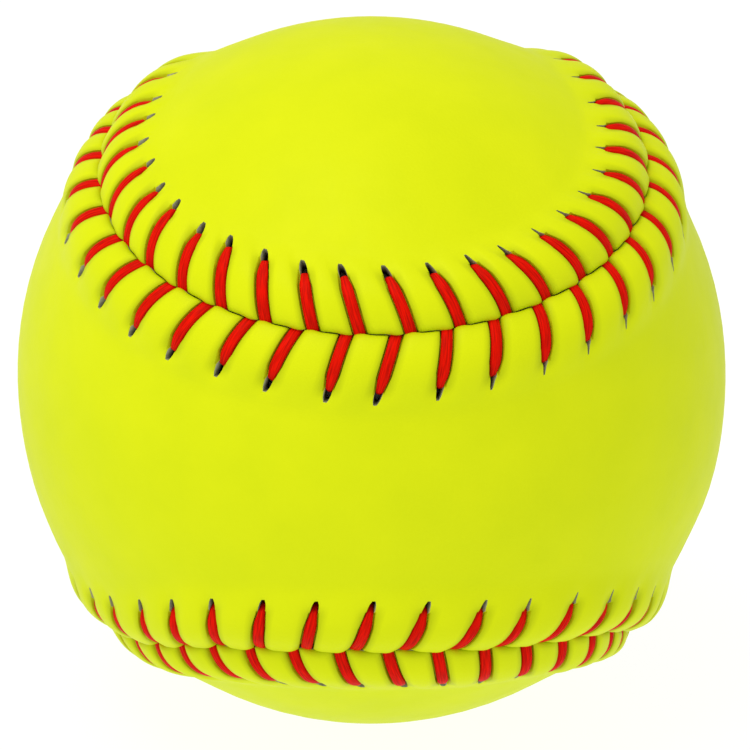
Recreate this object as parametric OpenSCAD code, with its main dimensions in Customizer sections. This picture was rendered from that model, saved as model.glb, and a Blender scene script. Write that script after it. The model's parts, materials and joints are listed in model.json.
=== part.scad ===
// Softball: a solid core, a film of cement, two figure-eight cover panels and the two
// threads that lace them together along one closed seam.
// The origin is the centre of the ball. The waist of the front panel faces -Y, and the
// back panel's two lobes meet the eye above and below it.

/* [Ball] */
// Diameter over the smooth part of the cover
ball_d = 96; // [88:0.5:130]
// Width of a panel across its waist, measured round the cover
waist_w = 44.1; // [38:0.1:56]
// Thickness of the cover away from the seam
cover_t = 1.8; // [1.6:0.1:2.6]
// Thickness of the film of cement under each panel
cement_t = 0.2; // [0.1:0.05:0.4]

/* [Raised seam] */
// Height of a panel's raised rim over the smooth cover
crest_h = 2.5; // [2.2:0.1:3]
// Distance of the rim's crest from the middle of the seam
crest_at = 3.8; // [3.4:0.1:4.2]
// Distance from the middle of the seam to the end of the rim, just inside the field
rim_w = 11.7; // [11:0.1:13]
// Height of a panel's cut edge over the smooth cover
lip_h = 1.5; // [1.3:0.1:1.8]
// Thickness of the leather at the cut edge
lip_t = 0.8; // [0.6:0.05:0.9]
// Gap between the cut edges of the two panels
seam_gap = 0.3; // [0.2:0.05:0.5]
// Width of the bed for the thread under the rim, from the middle of the seam
bed_w = 9.3; // [9.2:0.1:9.8]

/* [Stitching] */
// Number of stitches in each panel
stitch_count = 84; // [64:4:88]
// Width of the flat waxed thread
thread_w = 1.7; // [1.2:0.05:1.75]
// Thickness of the thread
thread_t = 0.75; // [0.5:0.05:0.8]
// Gap beside and under the thread in its groove and its hole
thread_gap = 0.1; // [0.05:0.01:0.15]
// Bend of a stitch over the rim
stitch_r = 5.56; // [5.4:0.02:5.8]
// Depth of the middle of the thread below the crest
stitch_sink = 0.8; // [0.7:0.05:1]
// Slant of the front panel's stitches from square across the seam, in degrees
lean_front = 16; // [8:1:18]
// Slant of the back panel's stitches from square across the seam, in degrees
lean_back = 18; // [10:1:20]
// Lead of the back panel's stitches over the front panel's along the seam
stitch_lead = 1.86; // [1.8:0.02:2.4]
// Slack of a hole beyond the thread
slit_gap = 0.4; // [0.3:0.05:0.6]

/* [Hidden] */
$fn = 180;
FRONT = 1;
BACK = -1;

cover_yellow = "#dfe81c";
thread_red = "#cf1a08";
core_grey = "#c9c6bd";
cement_tan = "#d8c58a";

ball_r = ball_d / 2;
shell_r = ball_r - cover_t;
core_r = shell_r - cement_t;

// The seam is four equal arcs of circles about the middles of the four lobes. Each arc
// meets the next one smoothly, half way between the two middles.
waist_a = degrees_round(waist_w / 2);
lobe_a = atan2(cos(waist_a), sqrt(1 / 2) - sin(waist_a));
seam_a = lobe_a - waist_a;
half_turn = 180 - asin(sqrt(1 / 2) / sin(seam_a));
seam_length = 8 * half_turn * (PI / 180) * ball_r * sin(seam_a);
pitch = seam_length / stitch_count;

// Each lobe has its middle, the direction from there that the seam arc is centred on,
// and the direction of sewing there. They follow each other in the order of sewing.
LOBES = [
    [[0, -cos(lobe_a), sin(lobe_a)], [0, -sin(lobe_a), -cos(lobe_a)], [1, 0, 0]],
    [[sin(lobe_a), cos(lobe_a), 0], [-cos(lobe_a), sin(lobe_a), 0], [0, 0, -1]],
    [[0, -cos(lobe_a), -sin(lobe_a)], [0, -sin(lobe_a), cos(lobe_a)], [-1, 0, 0]],
    [[-sin(lobe_a), cos(lobe_a), 0], [cos(lobe_a), sin(lobe_a), 0], [0, 0, 1]],
];
LOBE_COUNT = len(LOBES);
stitches_per_lobe = stitch_count / LOBE_COUNT;

// Overrun of every cutting tool beyond the ball, as a share of its radius
REACH_SHARE = 2.5;
reach = REACH_SHARE * ball_r;

// Thread bed under the rim
bed_t = thread_t + 2 * thread_gap;
bed_r = shell_r + bed_t;
run_r = bed_r - thread_gap - thread_t / 2;
skive_w = 2 * (lip_t + thread_gap);
foot_t = lip_t / 5;

// Where two seam arcs meet, one rim runs on inside the other: by this much, and thinner
// by this much all round
lap_w = lip_t;
lap_t = cement_t / 10;

// The arc of a stitch over the rim
centre_r = ball_r + crest_h - stitch_sink - stitch_r;
STITCH_A = 48;
ARC_STEPS = 3;
arc_step = 2 * STITCH_A / ARC_STEPS;
floor_r = stitch_r * cos(arc_step / 2) - thread_t / 2 - thread_gap;
wall_x = stitch_r * sin(STITCH_A) - thread_t / 2 - thread_gap;
wall_y = sqrt(pow(bed_r, 2) - pow(wall_x, 2)) - centre_r;

// Facets of the rim's section: up from the field to the crest, down from there to the
// cut edge, and along the bed under it
RISE_STEPS = 5;
FALL_STEPS = 2;
BED_STEPS = 2;

// Shape of the thread's section and of its turn round the edge of a hole, as shares
SECTION_SHARES = [[1, 0], [0.6, 1], [-0.6, 1], [-1, 0], [-0.6, -1], [0.6, -1]];
TURN_SHARES = [[0.5, -1], [1.4, 0]];
TAIL_SHARE = 0.45;
// Place of the front panel's first stitch on the first arc, as a share of the pitch
START_SHARE = 0.93;

function degrees_round(length) = length / ball_r * 180 / PI;
function unit(v) = v / norm(v);
function mix(a, b, share) = a + share * (b - a);

// The panel that owns a lobe, and which way the other measures run from its seam arc
function owner(lobe) = lobe % 2 == 0 ? BACK : FRONT;
function outward(lobe, side) = owner(lobe) == side ? -1 : 1;

// Angle from the middle of a lobe to a line at a distance from the seam in a panel
function line_a(lobe, side, distance) = seam_a + outward(lobe, side) * degrees_round(distance);

// Place on the seam, counted in stitches, as a lobe and an angle on its arc
function lobe_at(place) = floor(place / stitches_per_lobe) % LOBE_COUNT;
function turn_at(place) = half_turn
    * (2 * (place / stitches_per_lobe - floor(place / stitches_per_lobe)) - 1);

// Unit vectors at a place and a distance from the seam: outward, away from the seam,
// and in the direction of sewing
function frame_at(place, side, distance) =
    let (
        lobe = lobe_at(place),
        turn = turn_at(place),
        a = line_a(lobe, side, distance),
        middle = LOBES[lobe][0],
        spoke = cos(turn) * LOBES[lobe][1] + sin(turn) * LOBES[lobe][2]
    )
    [
        cos(a) * middle + sin(a) * spoke,
        outward(lobe, side) * (cos(a) * spoke - sin(a) * middle),
        cos(turn) * LOBES[lobe][2] - sin(turn) * LOBES[lobe][1],
    ];

function lean_of(side) = side == FRONT ? lean_front : lean_back;

// Place where a stitch of a panel enters the seam
function seam_place(k, side) =
    k + LOBE_COUNT * stitches_per_lobe + START_SHARE + (side == BACK ? stitch_lead / pitch : 0);

// Plane of a stitch: outward at the crest, along the stitch away from the seam, and
// across the stitch in the direction of sewing
function stitch_plane(k, side) =
    let (
        lean = lean_of(side),
        crest = frame_at(seam_place(k, side) - crest_at * tan(lean) / pitch, side, crest_at)
    )
    [
        crest[0],
        cos(lean) * crest[1] - sin(lean) * crest[2],
        cos(lean) * crest[2] + sin(lean) * crest[1],
    ];

function in_plane(plane, x, y) = x * plane[1] + (centre_r + y) * plane[0];

// Rings of one stitch, each a point and the direction of the thread's width: up round
// the edge of the hole, over the rim, and down through the seam to the bed beyond it
function stitch_rings(k, side) =
    let (
        plane = stitch_plane(k, side),
        turn_w = thread_t / 2 + thread_gap,
        dive_w = skive_w + thread_gap,
        dive = frame_at(seam_place(k, side) + dive_w * tan(lean_of(side)) / pitch, -side, dive_w)
    )
    [
        for (share = TURN_SHARES)
            [in_plane(plane, wall_x + turn_w * share[0], wall_y + turn_w * share[1]), plane[2]],
        for (a = [STITCH_A : -arc_step : -STITCH_A - arc_step / 2])
            [in_plane(plane, stitch_r * sin(a), stitch_r * cos(a)), plane[2]],
        [run_r * dive[0], dive[2]],
    ];

// The side that a thread's stitch is on: each thread crosses the seam at every stitch
function side_of(k, first_side) = k % 2 == 0 ? first_side : -first_side;

// All rings of a thread, with the tail that starts half way to its first hole
function thread_rings(first_side) =
    let (
        rings = [
            for (k = [0 : stitch_count - 1], ring = stitch_rings(k, side_of(k, first_side))) ring,
        ],
        before = stitch_rings(-1, -first_side),
        tail = before[len(before) - 1]
    )
    concat([[mix(tail[0], rings[0][0], TAIL_SHARE), tail[1]]], rings);

// Corners of the section at ring i: width along the ring's own direction, thickness
// square to it and to the middle of the two stretches that meet there
function section_at(rings, i) =
    let (
        last = len(rings) - 1,
        before = rings[max(i, 1)][0] - rings[max(i, 1) - 1][0],
        after = rings[min(i, last - 1) + 1][0] - rings[min(i, last - 1)][0],
        along = unit(unit(before) + unit(after)),
        width = rings[i][1],
        thickness = unit(cross(along, width))
    )
    [
        for (share = SECTION_SHARES)
            rings[i][0] + share[0] * thread_w / 2 * width + share[1] * thread_t / 2 * thickness,
    ];

module tube(rings) {
    sides = len(SECTION_SHARES);
    count = len(rings);
    polyhedron(
        points = [for (i = [0 : count - 1], point = section_at(rings, i)) point],
        faces = [
            [for (j = [0 : sides - 1]) j],
            for (i = [0 : count - 2], j = [0 : sides - 1], face = [
                [i * sides + j, (i + 1) * sides + j, (i + 1) * sides + (j + 1) % sides],
                [i * sides + j, (i + 1) * sides + (j + 1) % sides, i * sides + (j + 1) % sides],
            ]) face,
            [for (j = [sides - 1 : -1 : 0]) (count - 1) * sides + j],
        ]
    );
}

// Turns +Z to the middle of a lobe and +X to the direction its seam arc is centred on
module at_lobe(lobe) {
    middle = LOBES[lobe][0];
    spoke = LOBES[lobe][1];
    side = cross(middle, spoke);
    multmatrix([for (i = [0 : 2]) [spoke[i], side[i], middle[i], 0]]) children();
}

// Cone of a lobe's middle, out to an angle from it
module lobe_cone(lobe, a) {
    at_lobe(lobe) cylinder(h = reach * cos(a), r1 = 0, r2 = reach * sin(a));
}

// Pyramid from the centre through the four lobes' middles, on the side of one waist
module waist_pyramid(side) {
    middles = [for (lobe = side == FRONT ? [0, 1, 2, 3] : [3, 2, 1, 0]) reach * LOBES[lobe][0]];
    polyhedron(
        points = concat([[0, 0, 0]], middles, [[0, -side * reach, 0]]),
        faces = [
            for (i = [0 : 3], face = [
                [0, 1 + (i + 1) % 4, 1 + i],
                [5, 1 + i, 1 + (i + 1) % 4],
            ]) face,
        ]
    );
}

module hollow_ball(inner_r, outer_r) {
    difference() {
        sphere(outer_r);
        sphere(inner_r);
    }
}

// The smooth field of a panel, at least a distance from the seam, between two radii
module field(side, inner_r, outer_r, distance) {
    intersection() {
        hollow_ball(inner_r, outer_r);
        difference() {
            waist_pyramid(side);
            for (lobe = [0 : 3]) {
                if (owner(lobe) != side) lobe_cone(lobe, line_a(lobe, side, distance));
            }
        }
    }
    intersection() {
        hollow_ball(inner_r, outer_r);
        waist_pyramid(-side);
        for (lobe = [0 : 3]) {
            if (owner(lobe) == side) lobe_cone(lobe, line_a(lobe, side, distance + lap_t));
        }
    }
}

// Height of the top of the rim over the smooth cover
function rise(distance) = (crest_h + foot_t) / 2
    * (1 + cos(180 * (distance - crest_at) / (rim_w - crest_at))) - foot_t;
function fall(distance) = lip_h
    + (crest_h - lip_h) * sin(90 * (distance - seam_gap / 2) / (crest_at - seam_gap / 2));

// Section of the rim as distances from the seam and radii, round from the cut edge. Its
// foot runs on into the smooth field. With a lap, the section is thinner all round.
function rim_section(lap) = concat(
    [[seam_gap / 2 + lap, ball_r + lip_h - lap]],
    [for (i = [1 : FALL_STEPS - 1])
        let (d = mix(seam_gap / 2, crest_at, i / FALL_STEPS)) [d, ball_r + fall(d) - lap]],
    [for (i = [0 : RISE_STEPS])
        let (d = mix(crest_at, rim_w, i / RISE_STEPS)) [d, ball_r + rise(d) - lap]],
    [for (i = [0 : BED_STEPS])
        let (d = mix(rim_w, seam_gap / 2 + skive_w, i / BED_STEPS)) [d, bed_r + lap]],
    [[seam_gap / 2 + lap, ball_r + lip_h - lip_t + lap]]
);

// Raised rim of a panel along one seam arc. Round the panel's own lobes it runs on a
// little inside the rims of its waist, so that the arcs join as one solid.
module rim(side, lobe) {
    own = owner(lobe) == side;
    reach_a = half_turn + (own ? degrees_round(lap_w) / sin(seam_a) : 0);
    at_lobe(lobe)
        rotate_extrude(angle = 2 * reach_a, start = -reach_a)
            polygon([
                for (point = rim_section(own ? lap_t : 0))
                    let (a = line_a(lobe, side, point[0]))
                    point[1] * [sin(a), cos(a)],
            ]);
}

// Groove and hole of one stitch: open above the thread, with the rim's leather left
// under it and a straight wall at the hole
module slit(k, side) {
    plane = stitch_plane(k, side);
    normal = cross(plane[1], plane[0]);
    slit_r = stitch_r + thread_t / 2 + slit_gap;
    lift = crest_h / 2;
    multmatrix([for (i = [0 : 2]) [plane[1][i], plane[0][i], normal[i], centre_r * plane[0][i]]])
        linear_extrude(thread_w + 2 * thread_gap, center = true)
            difference() {
                translate(lift * [-cos(STITCH_A), sin(STITCH_A)])
                    circle(sqrt(pow(slit_r, 2) + pow(lift, 2)));
                intersection() {
                    circle(floor_r);
                    translate([wall_x - 2 * stitch_r, -stitch_r])
                        square(2 * stitch_r);
                }
            }
}

module cover(side) {
    color(cover_yellow)
        difference() {
            union() {
                field(side, shell_r, ball_r, bed_w);
                for (lobe = [0 : 3]) rim(side, lobe);
            }
            for (k = [0 : stitch_count - 1]) slit(k, side);
        }
}

module core() {
    color(core_grey) sphere(core_r);
}

module cement(side) {
    color(cement_tan) field(side, core_r, shell_r, rim_w);
}

module thread(first_side) {
    color(thread_red) tube(thread_rings(first_side));
}

core();
cement(FRONT);  // cement_front
cement(BACK);  // cement_back
cover(FRONT);  // cover_front
cover(BACK);  // cover_back
thread(FRONT);  // thread_first
thread(BACK);  // thread_second
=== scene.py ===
"""Visual model of a softball: two figure-eight leather panels with raised rims, laced
together by two flat waxed threads along one closed seam. Lengths are in metres."""

import json
import logging
import math
from dataclasses import dataclass, field
from enum import Enum

import bmesh
import bpy
import numpy as np
from mathutils import Matrix, Vector

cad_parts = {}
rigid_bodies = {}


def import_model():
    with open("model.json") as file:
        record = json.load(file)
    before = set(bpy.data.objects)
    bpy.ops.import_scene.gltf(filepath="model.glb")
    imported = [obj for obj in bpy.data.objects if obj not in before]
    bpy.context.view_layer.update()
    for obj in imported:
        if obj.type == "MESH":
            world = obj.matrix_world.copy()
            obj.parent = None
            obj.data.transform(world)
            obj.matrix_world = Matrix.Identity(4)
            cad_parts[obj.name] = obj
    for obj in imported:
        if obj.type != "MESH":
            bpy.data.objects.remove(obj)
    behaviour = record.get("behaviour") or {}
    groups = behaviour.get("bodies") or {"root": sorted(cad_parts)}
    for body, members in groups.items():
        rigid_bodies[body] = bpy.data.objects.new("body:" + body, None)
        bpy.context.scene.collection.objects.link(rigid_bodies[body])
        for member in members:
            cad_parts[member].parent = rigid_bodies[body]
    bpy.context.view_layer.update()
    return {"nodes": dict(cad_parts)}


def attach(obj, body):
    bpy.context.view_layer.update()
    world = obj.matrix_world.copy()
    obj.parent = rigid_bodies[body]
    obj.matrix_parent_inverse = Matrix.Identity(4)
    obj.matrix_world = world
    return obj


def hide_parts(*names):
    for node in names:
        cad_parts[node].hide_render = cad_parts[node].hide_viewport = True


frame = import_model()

log = logging.getLogger("softball")

MM = 0.001
TINY = 1e-9
# Points of a piece closer than this are one point
MERGE_W = 0.0008 * MM
Array = np.ndarray


class Side(Enum):
    """The two panels, by the side their waist faces."""

    FRONT = 1
    BACK = -1


class Sheet(Enum):
    """The two faces of a panel's leather."""

    GRAIN = "grain"
    FLESH = "flesh"


# Where the sewer's pull drew the cover well off the even line, chosen from places
# read off the photograph: place in stitches, then mm along the sewing and away
# from the seam
HAND_PULLS: dict[Side, tuple[tuple[float, float, float], ...]] = {
    Side.FRONT: ((44.5, 1.5, -3.0), (58.5, 0.0, -2.5)),
    Side.BACK: ((45.5, 0.0, -1.5),),
}

# Where the leather stands off the core, as the outline shows: direction, and height in mm
SLACK_SPOTS: tuple[tuple[float, float, float, float], ...] = (
    (0.92, -0.14, -0.36, 0.68),
    (-0.875, -0.175, -0.45, 0.6),
)


def srgb(code: str) -> tuple[float, float, float, float]:
    """Turns a colour's hex code into Blender's linear values.

    Args:
        code: An sRGB colour such as "#dfe81c".

    Returns:
        Red, green, blue and alpha, linear.
    """
    parts = [int(code[i : i + 2], 16) / 255 for i in (1, 3, 5)]
    linear = [p / 12.92 if p <= 0.04045 else ((p + 0.055) / 1.055) ** 2.4 for p in parts]
    return (linear[0], linear[1], linear[2], 1.0)


def smoothstep(value: Array) -> Array:
    """Eases from 0 to 1 as the value does, and holds both ends."""
    t = np.clip(value, 0.0, 1.0)
    return t * t * (3 - 2 * t)


def mix(a: Array, b: Array, share: Array) -> Array:
    """The value a share of the way from a to b."""
    return a + share * (b - a)


def unit(v: Array) -> Array:
    """Vectors scaled to length one."""
    return v / np.linalg.norm(v, axis=-1, keepdims=True)


@dataclass
class Seam:
    """The closed line where the panels meet: four equal circular arcs about the middles
    of the four lobes. A place on it is counted in stitches."""

    ball_r: float = 48 * MM
    waist_w: float = 44.1 * MM
    stitch_count: int = 84
    pull_at: float = 5 * MM
    pull_w: float = 10 * MM
    slack_w: float = 8.5 * MM
    half_turn: float = field(init=False)
    seam_a: float = field(init=False)
    lobe_a: float = field(init=False)
    pitch: float = field(init=False)
    lobes: Array = field(init=False)
    owners: Array = field(init=False)

    def __post_init__(self) -> None:
        """Works out the arcs from the ball, the waist and the stitch count."""
        waist_a = self.waist_w / 2 / self.ball_r
        self.lobe_a = math.atan2(math.cos(waist_a), math.sqrt(0.5) - math.sin(waist_a))
        self.seam_a = self.lobe_a - waist_a
        self.half_turn = math.pi - math.asin(math.sqrt(0.5) / math.sin(self.seam_a))
        length = 8 * self.half_turn * self.ball_r * math.sin(self.seam_a)
        self.pitch = length / self.stitch_count
        c, s = math.cos(self.lobe_a), math.sin(self.lobe_a)
        # Each lobe: its middle, where its arc is centred from there, and the sewing there
        self.lobes = np.array(
            [
                [[0, -c, s], [0, -s, -c], [1, 0, 0]],
                [[s, c, 0], [-c, s, 0], [0, 0, -1]],
                [[0, -c, -s], [0, -s, c], [-1, 0, 0]],
                [[-s, c, 0], [c, s, 0], [0, 0, 1]],
            ]
        )
        self.owners = np.array([Side.BACK.value, Side.FRONT.value] * 2)

    @property
    def per_lobe(self) -> float:
        """Stitches on one arc."""
        return self.stitch_count / len(self.lobes)

    def arc_at(self, place: Array) -> tuple[Array, Array]:
        """Finds the arc that a place lies on.

        Args:
            place: Places on the seam.

        Returns:
            The number of the lobe, and the angle from the middle of its arc.
        """
        arc = np.floor(place / self.per_lobe + TINY)
        turn = self.half_turn * (2 * (place / self.per_lobe - arc) - 1)
        return arc.astype(int) % len(self.lobes), turn

    def frame_at(self, place: Array, side: Side, distance: Array) -> tuple[Array, Array, Array]:
        """Unit vectors at points of the cover.

        Args:
            place: Places on the seam.
            side: The panel that the distance runs into.
            distance: Distances from the seam.

        Returns:
            Outward, away from the seam, and in the direction of sewing.
        """
        place = np.asarray(place, float)
        place, distance = np.broadcast_arrays(place, np.asarray(distance, float))
        lobe, turn = self.arc_at(place)
        outward = np.where(self.owners[lobe] == side.value, -1.0, 1.0)[..., None]
        angle = self.seam_a + outward * distance[..., None] / self.ball_r
        middle, near, along = (self.lobes[lobe, i] for i in range(3))
        cos_t, sin_t = np.cos(turn)[..., None], np.sin(turn)[..., None]
        spoke = cos_t * near + sin_t * along
        return (
            np.cos(angle) * middle + np.sin(angle) * spoke,
            outward * (np.cos(angle) * spoke - np.sin(angle) * middle),
            cos_t * along - sin_t * near,
        )

    def spread(self, place: Array, side: Side, distance: Array) -> Array:
        """How far one stitch of place carries along a line beside the seam.

        Args:
            place: Places on the seam.
            side: The panel that the line lies on.
            distance: Distances of the line from the seam.

        Returns:
            Lengths along the line.
        """
        lobe, _ = self.arc_at(place)
        outward = np.where(self.owners[lobe] == side.value, -1.0, 1.0)
        angle = self.seam_a + outward * distance / self.ball_r
        return self.pitch * np.sin(angle) / math.sin(self.seam_a)

    def pull(self, points: Array) -> Array:
        """Draws points along the ball as the sewer's hand drew the cover.

        Args:
            points: Points of a piece on the even ball.

        Returns:
            The points where they lie on this ball, as far from its centre as before, but
            for the slack spots of the leather, which stand a little off the core.
        """
        radius = np.linalg.norm(points, axis=-1, keepdims=True)
        out = points / radius
        shift = np.zeros_like(points)
        pull_at = np.array(self.pull_at)
        for side, pulls in HAND_PULLS.items():
            for place, along, away in pulls:
                centre, outward, sewing = self.frame_at(np.array(place), side, pull_at)
                apart = ((out - centre) ** 2).sum(-1, keepdims=True) * self.ball_r**2
                reach = np.exp(-apart / (2 * self.pull_w**2))
                shift += reach * (along * sewing + away * outward) * MM
        out = unit(out + shift / self.ball_r)
        for *spot, height in SLACK_SPOTS:
            apart = ((out - np.array(spot)) ** 2).sum(-1, keepdims=True) * self.ball_r**2
            radius = radius + height * MM * np.exp(-apart / (2 * self.slack_w**2))
        return out * radius

    def heart(self, place: Array, side: Side) -> Array:
        """Finds the point that a panel's smooth field runs in to from a place.

        Args:
            place: Places on the seam.
            side: The panel.

        Returns:
            The middle of the panel's own lobe, or a point on the midline of its waist.
        """
        lobe, turn = self.arc_at(place)
        swing = ((math.pi - self.lobe_a) * turn / self.half_turn)[..., None]
        waist = np.array([0.0, -side.value, 0.0])
        midline = np.cos(swing) * waist + np.sin(swing) * self.lobes[lobe, 2]
        own = (self.owners[lobe] == side.value)[..., None]
        return np.where(own, self.lobes[lobe, 0], midline)


@dataclass
class StitchRow:
    """The stitches of one panel, each in its own plane through the ball's centre, with
    the small unevenness of handwork."""

    seam: Seam
    side: Side
    lean: float
    lead: float = 0.0
    end_shift: float = 0.0
    start_share: float = 0.93
    crest_at: float = 3.8 * MM
    crest_h: float = 2.5 * MM
    sink: float = 0.62 * MM
    bend_r: float = 5.56 * MM
    thread_t: float = 0.75 * MM
    hand_shift: float = 0.12 * MM
    hand_lean: float = math.radians(1.6)
    hand_reach: float = 0.22 * MM
    hand_lift: float = 0.07 * MM
    hand_limit: float = 1.6
    swell: float = 0.42 * MM
    shut: float = 0.62
    shut_from: float = -0.05
    shut_over: float = 0.6
    bend_reach: float = 4.1 * MM
    rounds: int = 6
    seed: int = 7

    def __post_init__(self) -> None:
        """Draws the hand's unevenness and places each stitch's plane."""
        count = self.seam.stitch_count
        rng = np.random.default_rng(self.seed)
        hand = np.clip(rng.normal(size=(5, count)), -self.hand_limit, self.hand_limit)
        self.leans = self.lean + hand[0] * self.hand_lean
        self.reaches = self.end_shift + hand[1] * self.hand_reach
        self.twists = hand[3]
        shift = hand[2] * self.hand_shift / self.seam.pitch
        self.places = np.arange(count) + self.start_share + self.lead / self.seam.pitch + shift
        crest = self.places - self.crest_at * np.tan(self.leans) / self.seam.pitch
        self.normals, away, sewing = self.seam.frame_at(crest, self.side, self.crest_at)
        cos_l, sin_l = np.cos(self.leans)[:, None], np.sin(self.leans)[:, None]
        self.alongs = cos_l * away - sin_l * sewing
        self.acrosses = cos_l * sewing + sin_l * away
        # The rim was pulled up less on one side of the ball than on the other
        self.lifts = self.swell * self.normals[:, 0] + hand[4] * self.hand_lift
        # There the slits have closed up behind the thread as well
        turned = (self.normals[:, 0] - self.shut_from) / self.shut_over
        self.closings = 1 - self.shut * smoothstep(turned)

    @property
    def centre_r(self) -> float:
        """Distance of the bend's centre from the ball's."""
        return self.seam.ball_r + self.crest_h - self.sink - self.bend_r

    def place_beside(self, stitch: Array, offset: Array, distance: Array) -> Array:
        """Where a line at a distance from the seam passes beside a stitch.

        Args:
            stitch: Numbers of stitches, also past the last one.
            offset: Distances from their middle planes, in the direction of sewing.
            distance: Distances of the line from the seam.

        Returns:
            Places on the seam.
        """
        count = self.seam.stitch_count
        wrapped = stitch % count
        laps = (stitch // count) * float(count)
        across = self.acrosses[wrapped]
        shift = offset - distance * np.tan(self.leans[wrapped])
        place = self.places[wrapped] + shift / self.seam.pitch
        for _ in range(self.rounds):
            out, _, sewing = self.seam.frame_at(place, self.side, distance)
            miss = self.seam.ball_r * (out * across).sum(-1) - offset
            step = self.seam.spread(place, self.side, distance) * (sewing * across).sum(-1)
            place = place - miss / step
        return place + laps

    def top_h(self, distance: Array, lift: Array) -> Array:
        """Height of the top of the thread over the smooth cover, over the rim.

        Args:
            distance: Distances from the seam.
            lift: How much higher than usual the rim stands there.

        Returns:
            Heights.
        """
        x = (distance - self.crest_at) / math.cos(self.lean)
        x = np.clip(x, -self.bend_reach, self.bend_reach)
        y = self.centre_r + lift + np.sqrt(self.bend_r**2 - x**2) + self.thread_t / 2
        return np.sqrt(x**2 + y**2) - self.seam.ball_r


def wipe_selection() -> None:
    """Deselects everything, so that an operator acts on the new piece alone."""
    for obj in bpy.context.scene.objects:
        obj.select_set(False)


def grid_piece(name: str, columns: int, rows: int) -> tuple[bpy.types.Object, Array, Array]:
    """Adds a flat grid to be wrapped into a piece.

    Args:
        name: The piece's name.
        columns: Faces from left to right.
        rows: Faces from bottom to top.

    Returns:
        The object, and the column and row of each of its points.
    """
    wipe_selection()
    bpy.ops.mesh.primitive_grid_add(x_subdivisions=columns, y_subdivisions=rows, size=1)
    obj = bpy.context.object
    obj.name = obj.data.name = name
    flat = np.empty(len(obj.data.vertices) * 3)
    obj.data.vertices.foreach_get("co", flat)
    flat = flat.reshape(-1, 3)
    column = np.rint((flat[:, 0] + 0.5) * columns).astype(int)
    row = np.rint((flat[:, 1] + 0.5) * rows).astype(int)
    return obj, column, row


def close_mesh(obj: bpy.types.Object, crease: float) -> None:
    """Merges the meeting edges of a wrapped grid, caps what stays open, turns all faces
    outward and smooths them.

    Args:
        obj: The wrapped grid.
        crease: Faces that meet at more than this angle keep a hard edge.
    """
    wipe_selection()
    obj.select_set(True)
    bpy.context.view_layer.objects.active = obj
    bpy.ops.object.mode_set(mode="EDIT")
    bpy.ops.mesh.select_all(action="SELECT")
    bpy.ops.mesh.remove_doubles(threshold=MERGE_W)
    bpy.ops.mesh.fill_holes(sides=0)
    bpy.ops.mesh.normals_make_consistent(inside=False)
    bpy.ops.object.mode_set(mode="OBJECT")
    bpy.ops.object.shade_smooth_by_angle(angle=crease)


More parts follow.
